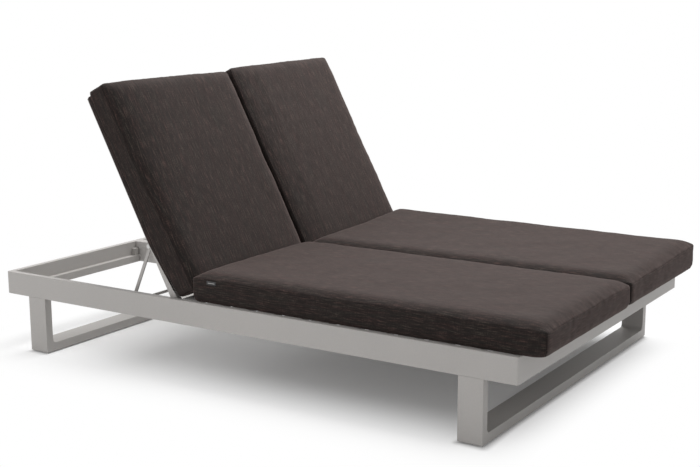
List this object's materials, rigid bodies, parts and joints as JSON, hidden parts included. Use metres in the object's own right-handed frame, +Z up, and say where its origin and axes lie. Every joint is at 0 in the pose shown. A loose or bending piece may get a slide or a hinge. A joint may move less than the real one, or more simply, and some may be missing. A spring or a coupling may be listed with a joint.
{
  "type": "double chaise lounger",
  "caption": "Free-standing outdoor lounger with side-by-side seats on one low metal frame, with independent reclining backrests and loose box cushions",
  "frame": {"origin": "on the floor, at the middle of the space that the lounger covers with its cushions", "axes": "+Y from the foot end to the head end, +X to the sitter's left, +Z up"},
  "size_m": [1.34, 2.062, 0.9701],
  "materials": {
    "powder_coated_frame": "matte",
    "cushion_fabric": "matte",
    "fasteners": "satin",
    "rubber": "matte",
    "grey_rubber": "matte",
    "nylon": "satin"
  },
  "bodies": {
    "frame": {"centre_beam": "powder_coated_frame", "foot_rail": "powder_coated_frame", "head_rail": "powder_coated_frame", "right_rail": "powder_coated_frame", "left_rail": "powder_coated_frame", "glides": "rubber", "leg_tabs": "powder_coated_frame", "leg_bolts": "fasteners", "rivet_nuts": "fasteners", "rack_screws": "fasteners", "ledge_pads": "grey_rubber", "slat_screws": "fasteners", "hinge_bolts": "fasteners", "head_leg_right_post": "powder_coated_frame", "head_leg_left_post": "powder_coated_frame", "head_leg_runner": "powder_coated_frame", "foot_leg_right_post": "powder_coated_frame", "foot_leg_left_post": "powder_coated_frame", "foot_leg_runner": "powder_coated_frame", "right_head_ledge": "powder_coated_frame", "right_seat_slats": "powder_coated_frame", "right_seat_cushion": "cushion_fabric", "right_outer_rack": "powder_coated_frame", "right_outer_seat_angle": "powder_coated_frame", "right_inner_rack": "powder_coated_frame", "right_inner_seat_angle": "powder_coated_frame", "left_head_ledge": "powder_coated_frame", "left_seat_slats": "powder_coated_frame", "left_seat_cushion": "cushion_fabric", "left_outer_rack": "powder_coated_frame", "left_outer_seat_angle": "powder_coated_frame", "left_inner_rack": "powder_coated_frame", "left_inner_seat_angle": "powder_coated_frame"},
    "right_back": {"right_back_outer_tube": "powder_coated_frame", "right_back_inner_tube": "powder_coated_frame", "right_back_top_tube": "powder_coated_frame", "right_back_bottom_tube": "powder_coated_frame", "right_back_slats": "powder_coated_frame", "right_prop_lugs": "powder_coated_frame", "right_prop_pins": "fasteners", "right_prop_washers": "nylon", "right_hinge_bushes": "nylon", "right_back_cushion": "cushion_fabric"},
    "right_prop": {"right_prop_outer_arm": "powder_coated_frame", "right_prop_inner_arm": "powder_coated_frame", "right_prop_rod": "powder_coated_frame"},
    "left_back": {"left_back_outer_tube": "powder_coated_frame", "left_back_inner_tube": "powder_coated_frame", "left_back_top_tube": "powder_coated_frame", "left_back_bottom_tube": "powder_coated_frame", "left_back_slats": "powder_coated_frame", "left_prop_lugs": "powder_coated_frame", "left_prop_pins": "fasteners", "left_prop_washers": "nylon", "left_hinge_bushes": "nylon", "left_back_cushion": "cushion_fabric"},
    "left_prop": {"left_prop_outer_arm": "powder_coated_frame", "left_prop_inner_arm": "powder_coated_frame", "left_prop_rod": "powder_coated_frame"}
  },
  "joints": [
    {"name": "right_recline", "type": "hinge", "parent": "frame", "child": "right_back", "pos_m": [-0.335, 0.27, 0.2675], "axis": [1, 0, 0], "range_deg": [-62, 0]},
    {"name": "right_prop_swing", "type": "hinge", "parent": "right_back", "child": "right_prop", "pos_m": [-0.335, 0.38911, 0.43295], "axis": [1, 0, 0], "range_deg": [0, 124]},
    {"name": "left_recline", "type": "hinge", "parent": "frame", "child": "left_back", "pos_m": [0.335, 0.27, 0.2675], "axis": [1, 0, 0], "range_deg": [-62, 0]},
    {"name": "left_prop_swing", "type": "hinge", "parent": "left_back", "child": "left_prop", "pos_m": [0.335, 0.38911, 0.43295], "axis": [1, 0, 0], "range_deg": [0, 124]}
  ],
  "couplings": [
    {"joint": "right_prop_swing", "follows": "right_recline", "ratio": -1.9994},
    {"joint": "left_prop_swing", "follows": "left_recline", "ratio": -1.9994}
  ]
}
